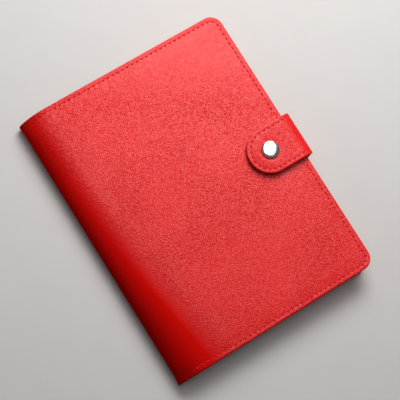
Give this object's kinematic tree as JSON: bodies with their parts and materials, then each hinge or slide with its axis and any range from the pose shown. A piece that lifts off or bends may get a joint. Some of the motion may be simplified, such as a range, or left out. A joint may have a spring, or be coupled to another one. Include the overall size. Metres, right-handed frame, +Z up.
{
  "type": "leather notebook cover",
  "caption": "Red leather cover for an A5 hardback notebook, with a rounded spine, a stitched edge, inner sleeves and a strap that closes with a metal snap.",
  "frame": {"origin": "middle of the closed book's footprint, at the bottom of the back cover", "axes": "+X from the spine to the fore-edge, +Y from foot to head, +Z up from the back cover to the front cover"},
  "size_m": [0.1722, 0.22, 0.028],
  "materials": {
    "red_leather": "pebble-grained coral red leather, satin",
    "red_lining": "smooth thin red lining leather, matt",
    "sleeve_leather": "pebble-grained red leather, satin",
    "stiffener_board": "grey board",
    "red_thread": "waxed red polyester thread",
    "notebook_board": "black paper-covered board",
    "notebook_spine_card": "black cloth-covered card",
    "paper": "uncoated cream paper",
    "snap_nickel": "polished nickel-plated brass",
    "spring_steel": "bright spring steel"
  },
  "bodies": {
    "back_cover": {"back_leather": "red_leather", "back_stitching": "red_thread", "back_stiffener": "stiffener_board", "back_lining": "red_lining", "back_sleeve": "sleeve_leather", "strap_anchor": "red_leather", "notebook_back_board": "notebook_board", "page_block": "paper"},
    "spine": {"spine_leather": "red_leather", "spine_lining": "red_lining", "notebook_spine": "notebook_spine_card"},
    "front_cover": {"front_leather": "red_leather", "front_stitching": "red_thread", "front_stiffener": "stiffener_board", "front_lining": "red_lining", "front_sleeve": "sleeve_leather", "card_slot_head": "sleeve_leather", "card_slot_foot": "sleeve_leather", "notebook_front_board": "notebook_board", "snap_stud": "snap_nickel", "stud_rivet": "snap_nickel"},
    "strap_wall": {"strap_wall_leather": "red_leather", "strap_wall_lining": "red_lining"},
    "strap_flap": {"strap_flap_leather": "red_leather", "strap_flap_lining": "red_lining", "strap_stitching": "red_thread", "snap_cap": "snap_nickel", "snap_socket": "snap_nickel", "snap_spring": "spring_steel"}
  },
  "joints": [
    {"name": "back_crease", "type": "hinge", "parent": "back_cover", "child": "spine", "pos_m": [-0.0837, 0, 0.0024], "axis": [0, -1, 0], "range_deg": [0, 90]},
    {"name": "front_crease", "type": "hinge", "parent": "spine", "child": "front_cover", "pos_m": [-0.0837, 0, 0.0176], "axis": [0, -1, 0], "range_deg": [0, 90]},
    {"name": "strap_root_bend", "type": "hinge", "parent": "back_cover", "child": "strap_wall", "pos_m": [0.0852, 0, 0.0021], "axis": [0, 1, 0], "range_deg": [0, 60]},
    {"name": "strap_top_bend", "type": "hinge", "parent": "strap_wall", "child": "strap_flap", "pos_m": [0.0852, 0, 0.0247], "axis": [0, 1, 0], "range_deg": [0, 120]}
  ],
  "couplings": [
    {"joint": "back_crease", "follows": "front_crease", "ratio": 1},
    {"joint": "strap_root_bend", "follows": "strap_top_bend", "ratio": 0.5}
  ]
}
